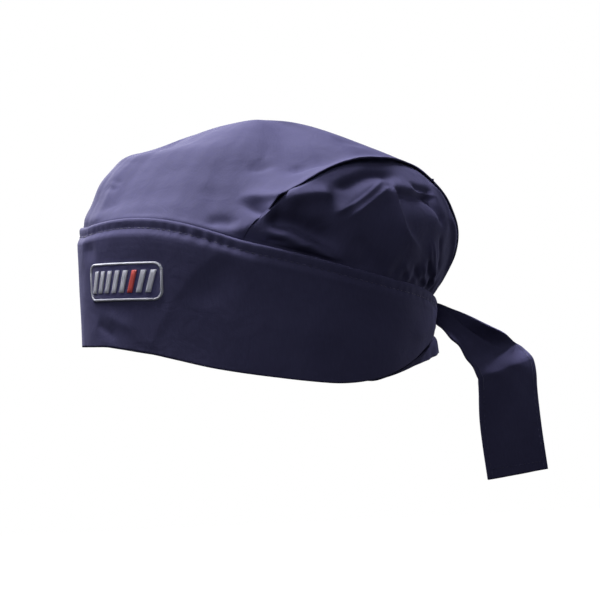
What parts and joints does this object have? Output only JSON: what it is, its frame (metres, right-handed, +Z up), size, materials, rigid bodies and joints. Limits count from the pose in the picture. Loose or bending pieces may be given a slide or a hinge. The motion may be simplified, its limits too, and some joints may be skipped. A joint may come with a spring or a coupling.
{
  "type": "welding beanie",
  "caption": "Welding beanie: a soft navy cotton cap with a deep headband, a gathered crown, a small plain badge and a strap knotted at the nape.",
  "frame": {"origin": "the middle of the head opening, level with the headband's lower edge at the brow", "axes": "+Z up, -Y forwards out of the brow, +X out over the wearer's left ear"},
  "size_m": [0.1638, 0.2913, 0.2098],
  "materials": {
    "centre_panel_cloth": "matte",
    "side_panel_cloth": "matte",
    "headband_cloth": "matte",
    "tie_cloth": "matte",
    "badge_face": "satin"
  },
  "bodies": {
    "root": {"headband": "headband_cloth", "crown_centre_panel": "centre_panel_cloth", "crown_side_panel_left": "side_panel_cloth", "crown_side_panel_right": "side_panel_cloth", "nape_flap": "side_panel_cloth", "knot": "tie_cloth", "tie_left": "tie_cloth", "tie_right": "tie_cloth", "badge": "badge_face"}
  },
  "joints": []
}
